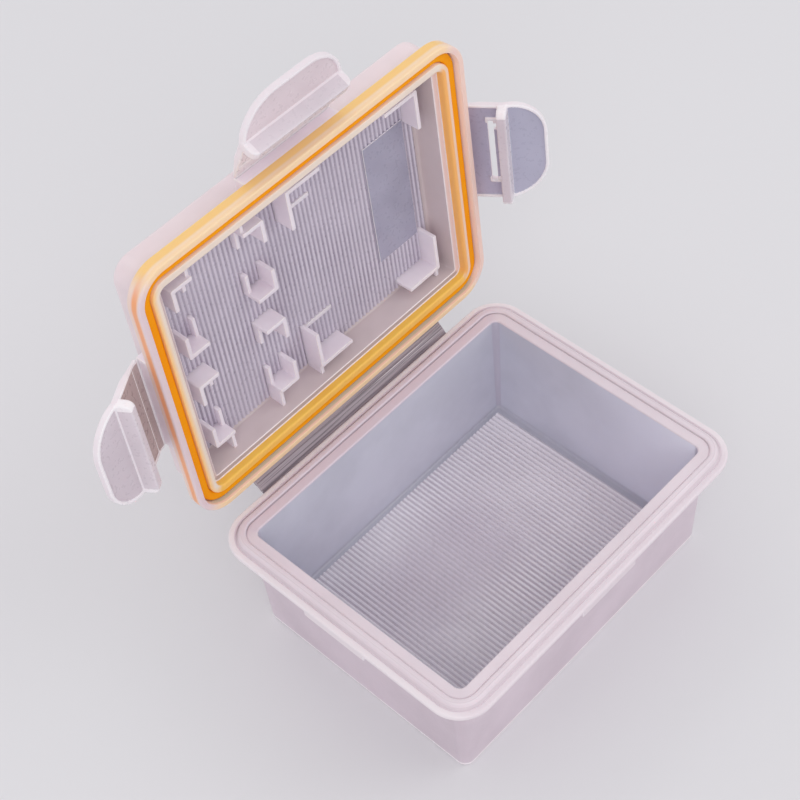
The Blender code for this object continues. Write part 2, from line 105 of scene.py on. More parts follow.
# Lid
LID_EDGE = FLANGE_REACH - 0.2 * MM
MATING_HEIGHT = LIP_TOP + GAP
BAND_TOP = MATING_HEIGHT + 2.5 * MM
LID_TOP = MATING_HEIGHT + 7.65 * MM
BODY_EDGE = LID_EDGE - 2.05 * MM
RIM_WALL = 1.0 * MM
RIM_INNER = LID_EDGE - RIM_WALL
LEDGE_HEIGHT = MATING_HEIGHT + 1.7 * MM
PANEL_HEIGHT = LID_TOP - 1.5 * MM
LID_HALF_X = OPENING_HALF_X + LID_EDGE
LID_HALF_Y = OPENING_HALF_Y + LID_EDGE

# Edges of the lid's section
PANEL_FILLET = 0.4 * MM
PANEL_DRAFT = 0.15 * MM
CAVITY_RADIUS = 0.12 * MM
LEDGE_FILLET = 0.15 * MM
TIP_INNER_RADIUS = 0.35 * MM
TIP_OUTER_RADIUS = 0.2 * MM
GROOVE_FILLET = 0.1 * MM
MATING_INNER_RADIUS = 0.12 * MM
MATING_OUTER_RADIUS = 0.25 * MM
BAND_RADIUS = 0.4 * MM
BAND_FILLET = 0.3 * MM
LID_TOP_RADIUS = 0.7 * MM

# Seal ring
GASKET_WIDTH = 1.45 * MM
GASKET_FACE = BEAD_TOP + GAP + 0.2 * MM
GASKET_BACK = GASKET_FACE + 0.75 * MM
GASKET_FACE_RADIUS = 0.3 * MM
GASKET_BACK_RADIUS = 0.1 * MM
GROOVE_TOP = GASKET_BACK + 0.1 * MM
SEAT_RIB_TIP = RIM_HEIGHT + GAP
SEAT_RIB_OUTER = BEAD_OFFSET - GASKET_WIDTH / 2 - 0.05 * MM
SEAT_RIB_INNER = SEAT_RIB_OUTER - 1.2 * MM
LID_CAVITY_EDGE = -0.75 * MM

# Fine ribs and the smooth pad
RIB_PITCH = 0.79 * MM
RIB_HEIGHT = 0.22 * MM
RIB_MARGIN = 0.5 * MM
POINTS_PER_RIB = 8
FLOOR_RIBS_HALF_X = OPENING_HALF_X - INNER_DRAFT - FLOOR_FILLET - RIB_MARGIN
FLOOR_RIBS_HALF_Y = OPENING_HALF_Y - INNER_DRAFT - FLOOR_FILLET - RIB_MARGIN
LID_RIBS_HALF_X = OPENING_HALF_X + LID_CAVITY_EDGE - RIB_MARGIN
LID_RIBS_HALF_Y = OPENING_HALF_Y + LID_CAVITY_EDGE - RIB_MARGIN
PAD_HEIGHT = 0.3 * MM
PAD_LENGTH = 21.8 * MM
PAD_WIDTH = 8.1 * MM
PAD_CENTRE_X = 18.45 * MM
PAD_RADIUS = 0.1 * MM

# Card clips
CLIP_WALL = 0.65 * MM
CLIP_OUTER_RADIUS = 0.3 * MM
CLIP_INNER_RADIUS = 0.15 * MM
CLIP_END_RADIUS = 0.12 * MM
CLIP_TOP_RADIUS = 0.08 * MM
SD_HALF = Vector((12.15, 16.45)) * MM
SD_LEGS = Vector((5.8, 6.1)) * MM
SD_CENTRE_X = 10.42 * MM
SD_CLIP_HEIGHT = 3.4 * MM
SD_REST_LENGTH = 5.8 * MM
MICRO_HALF = Vector((7.65, 5.8)) * MM
MICRO_ARM = 3.05 * MM
MICRO_LEG = 3.2 * MM
MICRO_CENTRE_X = -14.88 * MM
MICRO_PITCH = 18.4 * MM
MICRO_CLIP_HEIGHT = 3.25 * MM
MICRO_REST_HEIGHT = 1.2 * MM
REST_HEIGHT = 0.45 * MM

# Hinge strap and films
STRAP_HALF = 39.5 * MM / 2
STRAP_LENGTH = 3.1 * MM
STRAP_THICKNESS = 0.7 * MM
STRAP_EDGE_HALF = 0.22 * MM
STRAP_EDGE_REACH = 0.2 * MM
STRAP_EDGE_RADIUS = 0.2 * MM
STRAP_TAPER = 0.55 * MM
STRAP_TAPER_RADIUS = 0.15 * MM
STRAP_BAR_HALF = 0.5 * MM
STRAP_BAR_RISE = 0.25 * MM
STRAP_BAR_RADIUS = 0.1 * MM
STRAP_LINE_HALF = 0.1 * MM
STRAP_LINE_DEPTH = 0.12 * MM
STRAP_LINE_RADIUS = 0.05 * MM
FILM_THICKNESS = 0.22 * MM
FILM_STEPS = 8
FILM_SINK = 0.15 * MM
FILM_LIFT = 0.1 * MM

# Latches
LATCH_HALF = 17.4 * MM / 2
LATCH_AXIS_OUT = 0.6 * MM
LATCH_AXIS_Z = MATING_HEIGHT + 4.0 * MM
LATCH_FACE = 0.5 * MM - LATCH_AXIS_OUT
LATCH_PLATE = LATCH_FACE + 0.3 * MM
LATCH_BACK = LATCH_PLATE + 0.7 * MM
LATCH_BORDER = 0.45 * MM
LATCH_ROOT_TAPER = 3.0 * MM
LATCH_FILM_SINK = 0.1 * MM
LATCH_FILM_INSET = 0.2 * MM
ROOT_END = -1.5 * MM
HINGE_BEAD = 0.3 * MM
BEAD_STEPS = 10
BOSS_DEPTH = 2.35 * MM
BOSS_EMBED = 0.4 * MM
BOSS_ABOVE_AXIS = 0.3 * MM
BOSS_RADIUS = 0.15 * MM
HOOK_DISTANCE = 7.2 * MM
HOOK_THICKNESS = 1.4 * MM
HOOK_REACH = 2.2 * MM
HOOK_OVERHANG = 0.1 * MM
HOOK_STEPS = 8
TAB_LENGTH = 6.3 * MM
TAB_CORNER = 5.9 * MM
TAB_CORNER_STEPS = 14
TAB_BEND = math.radians(18.0)
SLOT_LENGTH = 11.2 * MM
SLOT_WIDTH = 0.9 * MM
SLOT_SPACING = 1.95 * MM
SLOT_SHIFT = 0.4 * MM
SLOT_END = 0.6 * MM
NOTCH_LENGTH = 1.2 * MM

# Where the faces of the box and the lid change their slot
CAVITY_END = RIM_HEIGHT - 0.3 * MM
RIM_START = FLANGE_UNDERSIDE - 0.05 * MM
FOOT_END = 0.45 * MM
FOOT_ARC = 0.2 * MM
SMALL_ARC = 0.07 * MM
ZONE_MARGIN = 0.1 * MM

# Where a latch's faces change their slot
POCKET_DEPTH = 0.12 * MM
HOOK_MARGIN = 0.2 * MM
HOOK_END = 0.8 * MM

LATCH_VOXEL = 0.11 * MM
SOFTENING_PASSES = 3

# Fineness of the meshes
CORNER_STEPS = 14
EDGE_STEPS = 3
CLIP_EDGE_STEPS = 2
LONGEST_ARC_SHARE = 0.49
SMALLEST_CORNER = 0.15 * MM
LONG_EDGE = 0.1 * MM

# Studio
STUDIO_FLOOR_DROP = 0.02 * MM
LAMP_TARGET = Vector((0.0, 0.02, 0.03))

# Sides with a catch and a latch, each with its distance from the middle and its turn about Z in degrees
CATCH_SIDES = ((OPENING_HALF_Y, 0.0), (OPENING_HALF_X, 90.0), (OPENING_HALF_X, -90.0))
LATCH_SIDES = {"front": (LID_HALF_Y, 0.0), "right": (LID_HALF_X, 90.0), "left": (LID_HALF_X, -90.0)}

# Material slots of the box, the lid and the latches; the edge slots hold painted highlights on small rounded
# edges
BOX_SLOTS = ("outside", "rim", "cavity", "ribs", "edge")
LID_SLOTS = (
    "outside", "band", "seat rib", "rib tip", "groove", "ledge", "wall", "ribs", "clip", "pad", "edge",
)
LATCH_SLOTS = ("outside", "border", "hook", "tab pocket", "panel pocket")

# Surface of the plastics
CLOUD_SCALE = 90.0
PATCH_SCALE = 60.0
GRAIN_SCALE = 1500.0
GRAIN_STRENGTH = 0.006
GRAIN_DEPTH = 0.1 * MM
GRAIN_ROUGHNESS = 0.05
REFRACTION = 1.49
SCATTER_DEPTH = 1.5 * MM

# Screen colours of each latch's tab pocket, panel pocket and border. The pockets show what lies behind them
# together with painted shade, the border carries a painted highlight, and both differ from side to side
LATCH_TONES = {
    "front": ((222, 208, 213), (226, 215, 220), (238, 229, 234)),
    "right": ((183, 182, 200), (187, 183, 203), (248, 240, 245)),
    "left": ((215, 205, 212), (186, 169, 168), (248, 240, 245)),
}


# Shader helpers
def srgb(red, green, blue):
    """Linear colour from screen values of 0 to 255."""
    values = [channel / 255 for channel in (red, green, blue)]
    return tuple(v / 12.92 if v <= 0.04045 else ((v + 0.055) / 1.055) ** 2.4 for v in values)


class Nodes:
    """Short helper for adding and linking shader nodes."""

    def __init__(self, material):
        material.use_nodes = True
        self.tree = material.node_tree
        self.shader = self.tree.nodes["Principled BSDF"]
        self.place = self.add("ShaderNodeTexCoord").outputs["Object"]

    def add(self, kind, **values):
        node = self.tree.nodes.new(kind)
        for key, value in values.items():
            if hasattr(node, key):
                setattr(node, key, value)
            else:
                node.inputs[key.replace("_", " ")].default_value = value
        return node

    def link(self, source, target):
        self.tree.links.new(source, target)

    def noise(self, scale, detail=3.0, stretch=(1.0, 1.0, 1.0)):
        mapping = self.add("ShaderNodeMapping", Scale=stretch)
        self.link(self.place, mapping.inputs["Vector"])
        noise = self.add("ShaderNodeTexNoise", Scale=scale, Detail=detail, Roughness=0.55)
        self.link(mapping.outputs["Vector"], noise.inputs["Vector"])
        return noise.outputs["Fac"]

    def step(self, value, start, end, low=0.0, high=1.0):
        """Smooth rise from low to high while the value goes from start to end."""
        node = self.add("ShaderNodeMapRange", interpolation_type="SMOOTHSTEP")
        for name, number in (("From Min", start), ("From Max", end), ("To Min", low), ("To Max", high)):
            node.inputs[name].default_value = number
        self.link(value, node.inputs["Value"])
        return node.outputs["Result"]

    def math(self, operation, value, *others):
        node = self.add("ShaderNodeMath", operation=operation)
        self.link(value, node.inputs[0])
        for socket, other in zip(node.inputs[1:], others):
            if isinstance(other, bpy.types.NodeSocket):
                self.link(other, socket)
            else:
                socket.default_value = other
        return node.outputs[0]

    def mix(self, factor, below, above):
        """Colour between two, each a socket or red, green and blue."""
        node = self.add("ShaderNodeMix", data_type="RGBA")
        self.link(factor, node.inputs[0])
        for socket, colour in ((node.inputs[6], below), (node.inputs[7], above)):
            if isinstance(colour, bpy.types.NodeSocket):
                self.link(colour, socket)
            else:
                socket.default_value = (*colour, 1.0)
        return node.outputs[2]

    def attribute(self, name):
        return self.add("ShaderNodeAttribute", attribute_name=name).outputs["Fac"]


# Masks, each a function of the nodes that gives 0 to 1 from a value stored on the piece
def near(name, centre, half_width, soft):
    def mask(nodes):
        away = nodes.math("ABSOLUTE", nodes.math("SUBTRACT", nodes.attribute(name), centre))
        return nodes.step(away, half_width, half_width + soft, 1.0, 0.0)
    return mask


def past(name, start, end):
    return lambda nodes: nodes.step(nodes.attribute(name), start, end)


def below(name, start, end):
    return lambda nodes: nodes.step(nodes.attribute(name), start, end, 1.0, 0.0)


SHORT_SIDES = past("end", 0.2, 0.8)
LONG_SIDES = below("end", 0.2, 0.8)
HINGE_SIDE = past("hinge", 0.35, 0.65)
FRONT_SIDE = below("hinge", 0.35, 0.65)
RIGHT_SIDE = past("right", 0.35, 0.65)


# Colour details, each a function of the nodes and the colour so far
def tint(tone, *masks):
    """Another tone where all the masks are 1."""
    def paint(nodes, colour):
        factor = masks[0](nodes)
        for mask in masks[1:]:
            factor = nodes.math("MULTIPLY", factor, mask(nodes))
        return nodes.mix(factor, colour, tone)
    return paint


def painted_rib_valley_shade(half_x, valley, faintest):
    """Painted shade in the valleys between the fine ribs along Y, fainter in patches."""
    start = -int(2 * half_x / RIB_PITCH) * RIB_PITCH / 2

    def paint(nodes, colour):
        axes = nodes.add("ShaderNodeSeparateXYZ")
        nodes.link(nodes.place, axes.inputs["Vector"])
        turns = nodes.math("MULTIPLY_ADD", axes.outputs["X"], 1 / RIB_PITCH, -start / RIB_PITCH)
        crest = nodes.math("PINGPONG", turns, 0.5)
        shade = nodes.step(crest, 0.14, 0.34, 1.0, 0.0)
        patch = nodes.step(nodes.noise(PATCH_SCALE), 0.3, 0.7, faintest, 1.0)
        return nodes.mix(nodes.math("MULTIPLY", shade, patch), colour, valley)
    return paint


def painted_streaks(tone, start, end):
    """Streaks along X in one tone: painted shade where the tone is dark, painted highlights where it is
    light.
    """
    def paint(nodes, colour):
        flow = nodes.noise(1.0, 2.0, (25.0, 2600.0, 2600.0))
        return nodes.mix(nodes.step(flow, start, end), colour, tone)
    return paint


def plastic(name, tones, roughness, scatter=0.3, details=(), specular=0.5):
    """Milky moulded plastic.

    It has a cloudy colour between two tones, faint surface grain and light scattered inside.
    """
    dark, light = tones
    material = bpy.data.materials.new(name)
    nodes = Nodes(material)
    shader = nodes.shader
    colour = nodes.mix(nodes.step(nodes.noise(CLOUD_SCALE), 0.3, 0.7), dark, light)
    for detail in details:
        colour = detail(nodes, colour)
    nodes.link(colour, shader.inputs["Base Color"])
    grain = nodes.noise(GRAIN_SCALE, 2.0)
    varied = nodes.step(grain, 0.2, 0.8, roughness - GRAIN_ROUGHNESS, roughness + GRAIN_ROUGHNESS)
    nodes.link(varied, shader.inputs["Roughness"])
    relief = nodes.add("ShaderNodeBump", Strength=GRAIN_STRENGTH, Distance=GRAIN_DEPTH)
    nodes.link(grain, relief.inputs["Height"])
    nodes.link(relief.outputs["Normal"], shader.inputs["Normal"])
    shader.inputs["IOR"].default_value = REFRACTION
    shader.inputs["Specular IOR Level"].default_value = specular
    shader.inputs["Subsurface Weight"].default_value = scatter
    shader.inputs["Subsurface Scale"].default_value = SCATTER_DEPTH
    shader.inputs["Subsurface Radius"].default_value = (1.0, 0.9, 0.9)
    material.diffuse_color = (*light, 1.0)
    return material


def cloudy(red, green, blue, spread=5):
    """Two near tones round a screen colour."""
    colour = (red, green, blue)
    return srgb(*(c - spread for c in colour)), srgb(*(min(c + spread, 255) for c in colour))


# Materials
def box_materials():
    # Rim: painted shade lines in its steps, darkest on the hinge side, painted shade over the hinge side,
    # and a painted highlight along the outer lip that is dimmer at the front
    dark_shade_line = srgb(178, 162, 172)
    grey_shade_line = srgb(206, 194, 200)
    faint_shade_line = srgb(220, 208, 215)
    inner_line = near("out", 1.62, 0.05, 0.06)
    bead_line = near("out", 2.4, 0.02, 0.05)
    outer_line = near("out", 3.05, 0.12, 0.1)
    lip = past("out", 3.35, 3.5)
    rim_light_and_shade = (
        tint(srgb(222, 207, 217), LONG_SIDES, HINGE_SIDE),
        tint(faint_shade_line, inner_line),
        tint(faint_shade_line, bead_line),
        tint(faint_shade_line, outer_line),
        tint(grey_shade_line, inner_line, SHORT_SIDES, RIGHT_SIDE),
        tint(grey_shade_line, outer_line, SHORT_SIDES, RIGHT_SIDE),
        tint(dark_shade_line, inner_line, LONG_SIDES, HINGE_SIDE),
        tint(dark_shade_line, outer_line, LONG_SIDES, HINGE_SIDE),
        tint(srgb(238, 228, 233), lip),
        tint(srgb(230, 218, 225), lip, LONG_SIDES, FRONT_SIDE),
    )
    # Floor: painted shade in its middle, painted shade in the valleys between the ribs, and painted light
    # towards the right
    middle_shade = tint(srgb(226, 217, 228), near("right", 0.45, 0.1, 0.3), near("hinge", 0.62, 0.08, 0.22))
    floor_valley_shade = painted_rib_valley_shade(FLOOR_RIBS_HALF_X, srgb(204, 192, 205), 0.45)
    right_painted_light = tint(srgb(255, 247, 253), past("right", 0.55, 1.35))
    # Outside: a painted highlight along the foot of the wall
    foot_highlight = tint(srgb(252, 242, 248), below("lift", 0.8, 1.1))
    # Cavity: painted shade along its foot and in its upright corners, and painted light in its right front
    foot_shade = tint(srgb(194, 192, 204), below("lift", 1.0, 1.9))
    painted_light_corner = tint(srgb(240, 239, 252), past("right", 0.7, 1.0), below("hinge", 0.0, 0.7))
    upright_shade = tint(srgb(199, 194, 208), near("end", 0.5, 0.25, 0.25), past("lift", 1.2, 1.6))
    cavity_light_and_shade = (painted_light_corner, upright_shade, foot_shade)
    return {
        "outside": plastic("box outside", cloudy(213, 199, 209), 0.4, 0.3, (foot_highlight,)),
        "rim": plastic("box rim", cloudy(231, 219, 226, 3), 0.35, 0.3, rim_light_and_shade),
        "cavity": plastic("box cavity", cloudy(210, 210, 222), 0.45, 0.2, cavity_light_and_shade),
        "ribs": plastic(
            "box ribbed floor", cloudy(246, 240, 247), 0.3, 0.1, (middle_shade, floor_valley_shade, right_painted_light),
        ),
        "edge": plastic("box edge", cloudy(244, 234, 241, 4), 0.3),
    }


def lid_materials():
    glow = srgb(255, 206, 132)
    salmon = srgb(250, 172, 122)
    orange = srgb(255, 196, 92)
    glow_far = tint(glow, near("lift", 23.2, 0.45, 0.9), LONG_SIDES)
    mating_edge = below("lift", 21.6, 21.9)
    band = (
        glow_far,
        tint(srgb(240, 214, 204), SHORT_SIDES),
        tint(salmon, near("lift", 22.45, 0.25, 0.5), SHORT_SIDES),
        tint(srgb(255, 216, 176), below("lift", 21.9, 22.6), LONG_SIDES),
        tint(srgb(226, 206, 211), mating_edge, SHORT_SIDES),
        tint(srgb(242, 208, 196), mating_edge, SHORT_SIDES, RIGHT_SIDE),
    )
    tip = (
        tint(orange, LONG_SIDES, HINGE_SIDE),
        tint(srgb(255, 208, 144), past("out", 0.6, 1.4), SHORT_SIDES),
        tint(srgb(246, 208, 182), SHORT_SIDES, RIGHT_SIDE),
        tint(srgb(255, 184, 104), below("out", 0.7, 0.95), SHORT_SIDES, RIGHT_SIDE),
    )
    # Groove: painted shade deep in it on the hinge side, and painted light on the right side
    groove = (
        tint(srgb(206, 206, 192), past("lift", 21.8, 22.1), LONG_SIDES, HINGE_SIDE),
        tint(srgb(254, 238, 234), SHORT_SIDES, RIGHT_SIDE),
    )
    # Ledge: painted shade on the hinge side, and painted light on the right side
    ledge = (
        tint(srgb(184, 168, 174), LONG_SIDES, HINGE_SIDE),
        tint(srgb(240, 218, 218), SHORT_SIDES, RIGHT_SIDE),
    )
    # Lid panel: painted shade in the valleys between its ribs
    panel_valley_shade = painted_rib_valley_shade(LID_RIBS_HALF_X, srgb(172, 161, 178), 0.55)
    return {
        "outside": plastic("lid outside", cloudy(236, 221, 225), 0.4, 0.4, (glow_far,)),
        "band": plastic("lid band", cloudy(243, 226, 228), 0.35, 0.4, band),
        "seat rib": plastic(
            "lid seat rib", cloudy(255, 196, 84, 6), 0.4, 0.2, (tint(srgb(255, 188, 104), SHORT_SIDES),)
        ),
        "rib tip": plastic("lid rib tip", cloudy(240, 223, 208, 4), 0.4, 0.2, tip),
        "groove": plastic("lid groove", cloudy(240, 216, 206), 0.5, 0.2, groove),
        "ledge": plastic("lid ledge", cloudy(212, 196, 200), 0.4, 0.2, ledge),
        "wall": plastic("lid cavity wall", cloudy(213, 198, 199), 0.4, 0.2),
        "ribs": plastic("lid ribbed panel", cloudy(216, 207, 221), 0.3, 0.1, (panel_valley_shade,)),
        "clip": plastic("card clip", cloudy(242, 231, 240, 6), 0.35, 0.5),
        "pad": plastic("lid pad", cloudy(163, 159, 180, 9), 0.3, 0.1),
        "edge": plastic("lid edge", cloudy(246, 234, 236, 3), 0.3, 0.4),
    }


def latch_materials(side):
    """Looks of one latch: its pockets show what lies behind them and carry painted shade, so they differ
    from side to side; its border is a painted highlight.
    """
    tab_tone, panel_tone, border_highlight_tone = LATCH_TONES[side]
    return {
        "outside": plastic(f"{side} latch outside", cloudy(238, 227, 233, 4), 0.35, 0.5),
        "border": plastic(f"{side} latch border", cloudy(*border_highlight_tone, 4), 0.3, 0.5),
        "hook": plastic(f"{side} latch hook", cloudy(220, 210, 217), 0.3, 0.3),
        "tab pocket": plastic(f"{side} latch tab pocket", cloudy(*tab_tone), 0.3, 0.3),
        "panel pocket": plastic(f"{side} latch panel pocket", cloudy(*panel_tone), 0.3, 0.3),
    }


# Modelling helpers
def rounded_path(corners, closed=False, step=math.radians(15.0)):
    """Path through (a, b, radius) corners with each corner rounded by an arc."""
    count = len(corners)
    path = []
    for k, (a, b, radius) in enumerate(corners):
        here = Vector((a, b))
        if not closed and k in (0, count - 1) or radius <= 0:
            path.append((a, b))
            continue
        before = Vector(corners[k - 1][:2]) - here
        after = Vector(corners[(k + 1) % count][:2]) - here
        inside = before.angle(after)
        longest = min(LONGEST_ARC_SHARE * before.length, LONGEST_ARC_SHARE * after.length)
        reach = min(radius / math.tan(inside / 2), longest)
        radius = reach * math.tan(inside / 2)
        start = here + before.normalized() * reach
        centre = here + (before.normalized() + after.normalized()).normalized() * math.hypot(radius, reach)
        first = math.atan2(start.y - centre.y, start.x - centre.x)
        end = here + after.normalized() * reach
        turn = math.atan2(end.y - centre.y, end.x - centre.x) - first
        turn = (turn + math.pi) % (2 * math.pi) - math.pi
        steps = max(2, math.ceil(abs(turn) / step))
        for n in range(steps + 1):
            angle = first + turn * n / steps
            path.append((centre.x + radius * math.cos(angle), centre.y + radius * math.sin(angle)))
    return path


def outline_ring(outset, height):
    """Rounded rectangle at a distance outside the box's opening, with corners concentric to it."""
    radius = max(OPENING_CORNER + outset, SMALLEST_CORNER)
    points = []
    for quarter, (side_x, side_y) in enumerate(((1, 1), (-1, 1), (-1, -1), (1, -1))):
        centre_x = side_x * (OPENING_HALF_X + outset - radius)
        centre_y = side_y * (OPENING_HALF_Y + outset - radius)
        for step in range(CORNER_STEPS + 1):
            angle = math.radians(90.0) * (quarter + step / CORNER_STEPS)
            points.append((centre_x + radius * math.cos(angle), centre_y + radius * math.sin(angle), height))
    return points


def loft_ring(section, slots=(), zone=None, closed=False):
    """Carry a section of (outset, height) points round the opening's outline.

    zone names the slot of a stretch of the section from its middle and its length.
    """
    bm = bmesh.new()
    rings = [[bm.verts.new(p) for p in outline_ring(*point)] for point in section]
    pairs = list(zip(range(len(rings)), range(1, len(rings))))
    if closed:
        pairs.append((len(rings) - 1, 0))
    for first, second in pairs:
        ring_a, ring_b = rings[first], rings[second]
        slot = 0
        if zone:
            here, there = Vector(section[first]), Vector(section[second])
            slot = slots.index(zone(*((here + there) / 2), (there - here).length))
        count = len(ring_a)
        for k in range(count):
            face = bm.faces.new((ring_a[k], ring_a[(k + 1) % count], ring_b[(k + 1) % count], ring_b[k]))
            face.material_index = slot
    if not closed:
        for end in (0, -1):
            cap = bm.faces.new(rings[end])
            if zone:
                cap.material_index = slots.index(zone(*section[end], MM))
    return bm


def round_edges(bm, edges, radius, steps, slot=0):
    bmesh.ops.bevel(
        bm, geom=edges, offset=radius, segments=steps, profile=0.5, affect="EDGES", material=slot,
    )


def box_mesh(low, high, radius=0.0, slot=0, edge_slot=0):
    """Box between two corners, all its edges rounded where a radius is given."""
    bm = bmesh.new()
    bmesh.ops.create_cube(bm, size=1.0)
    low, high = Vector(low), Vector(high)
    bmesh.ops.scale(bm, vec=high - low, verts=bm.verts)
    bmesh.ops.translate(bm, vec=(low + high) / 2, verts=bm.verts)
    for face in bm.faces:
        face.material_index = slot
    if radius:
        round_edges(bm, bm.edges[:], radius, EDGE_STEPS, edge_slot)
    return bm


def extrude_outline(bm, outline, lift, slot=0):
    """Extrude a flat outline of 3-D points along a vector, and give the new end face."""
    face = bm.faces.new([bm.verts.new(p) for p in outline])
    grown = bmesh.ops.extrude_face_region(bm, geom=[face])["geom"]
    bmesh.ops.translate(bm, vec=lift, verts=[v for v in grown if isinstance(v, bmesh.types.BMVert)])
    for face in bm.faces:
        face.material_index = slot
    return [f for f in grown if isinstance(f, bmesh.types.BMFace)][0]


def turn_about_z(bm, degrees):
    turn = Matrix.Rotation(math.radians(degrees), 3, "Z")
    bmesh.ops.rotate(bm, cent=(0, 0, 0), matrix=turn, verts=bm.verts)
    return bm


def make_object(name, bm, materials):
    bmesh.ops.recalc_face_normals(bm, faces=bm.faces)
    mesh = bpy.data.meshes.new(name)
    bm.to_mesh(mesh)
    bm.free()
    thing = bpy.data.objects.new(name, mesh)
    bpy.context.scene.collection.objects.link(thing)
    for material in materials:
        mesh.materials.append(material)
    return thing


def apply_modifiers(thing):
    """Bake the modifiers of a piece into its mesh."""
    bpy.context.view_layer.update()
    mesh = bpy.data.meshes.new_from_object(thing.evaluated_get(bpy.context.evaluated_depsgraph_get()))
    thing.modifiers.clear()
    old = thing.data
    thing.data = mesh
    bpy.data.meshes.remove(old)
    mesh.name = thing.name


def combine(thing, tools, operation):
    """Join or cut with closed tool meshes, each removed after use."""
    for bm in tools:
        tool = make_object("tool", bm, thing.data.materials)
        modifier = thing.modifiers.new(operation, "BOOLEAN")
        modifier.operation = operation
        modifier.solver = "EXACT"
        modifier.object = tool
        apply_modifiers(thing)
        bpy.data.objects.remove(tool)


def shade(thing, angle=32.0):
    """Smooth shading with crisp edges and flats that stay flat."""
    thing.data.shade_smooth()
    thing.data.set_sharp_from_angle(angle=math.radians(angle))
    weighted = thing.modifiers.new("flats", "WEIGHTED_NORMAL")
    weighted.keep_sharp = True
    weighted.weight = 100


def rounded_remesh(thing, voxel, passes):
    """Even fine mesh whose moulded edges are softened."""
    remesh = thing.modifiers.new("remesh", "REMESH")
    remesh.mode = "VOXEL"
    remesh.voxel_size = voxel
    remesh.use_smooth_shade = True
    soften = thing.modifiers.new("soften", "SMOOTH")
    soften.factor = 0.5
    soften.iterations = passes
    apply_modifiers(thing)


def add_closed_mesh(thing, bm):
    """Add a closed mesh that stands sunk in the piece, as a body of its own."""
    bmesh.ops.recalc_face_normals(bm, faces=bm.faces)
    extra = bpy.data.meshes.new("extra")
    bm.to_mesh(extra)
    bm.free()
    both = bmesh.new()
    both.from_mesh(thing.data)
    both.from_mesh(extra)
    both.to_mesh(thing.data)
    both.free()
    bpy.data.meshes.remove(extra)


def mark_places(thing):
    """Store values on the points of the shut piece for its materials.

    out is the distance outside the opening in mm, lift the height in mm, end is 1 on the short sides,
    hinge is 1 on the hinge side and right is 1 on the right.
    """
    stored = {"out": [], "lift": [], "end": [], "hinge": [], "right": []}
    for vertex in thing.data.vertices:
        x, y, z = vertex.co
        past_x = abs(x) - OPENING_HALF_X + OPENING_CORNER
        past_y = abs(y) - OPENING_HALF_Y + OPENING_CORNER
        outside = math.hypot(max(past_x, 0.0), max(past_y, 0.0))
        outset = outside + min(max(past_x, past_y), 0.0) - OPENING_CORNER
        stored["out"].append(outset / MM)
        stored["lift"].append(z / MM)
        if max(past_x, past_y) > 0:
            stored["end"].append(math.atan2(max(past_x, 0.0), max(past_y, 0.0)) / math.radians(90.0))
        else:
            stored["end"].append(float(past_x > past_y))
        stored["hinge"].append(min(max(0.5 + y / (2 * OPENING_HALF_Y), 0.0), 1.0))
        stored["right"].append(min(max(0.5 + x / (2 * OPENING_HALF_X), 0.0), 1.0))
    for name, values in stored.items():
        attribute = thing.data.attributes.new(name, "FLOAT", "POINT")
        attribute.data.foreach_set("value", values)


def ribbed_mat(half_x, half_y, level, direction, slot):
    """Mat of rounded ribs along Y, sunk into the surface that carries it."""
    count = int(2 * half_x / RIB_PITCH)
    start = -count * RIB_PITCH / 2
    back = level - direction * EMBED
    outline = [(start, -half_y, back)]
    for k in range(count * POINTS_PER_RIB + 1):
        rise = (1 - math.cos(2 * math.pi * k / POINTS_PER_RIB)) / 2
        along = start + k * RIB_PITCH / POINTS_PER_RIB
        outline.append((along, -half_y, level + direction * RIB_HEIGHT * rise))
    outline.append((-start, -half_y, back))
    bm = bmesh.new()
    extrude_outline(bm, outline, (0.0, 2 * half_y, 0.0), slot)
    return bm


# Box
def box_zone(outset, height, length):
    if outset < SHY and FLOOR / 2 < height < CAVITY_END:
        return "cavity"
    if height > RIM_START:
        return "rim"
    # The small arcs at the foot take the painted edge highlight
    if height < FOOT_END and length < FOOT_ARC:
        return "edge"
    return "outside"


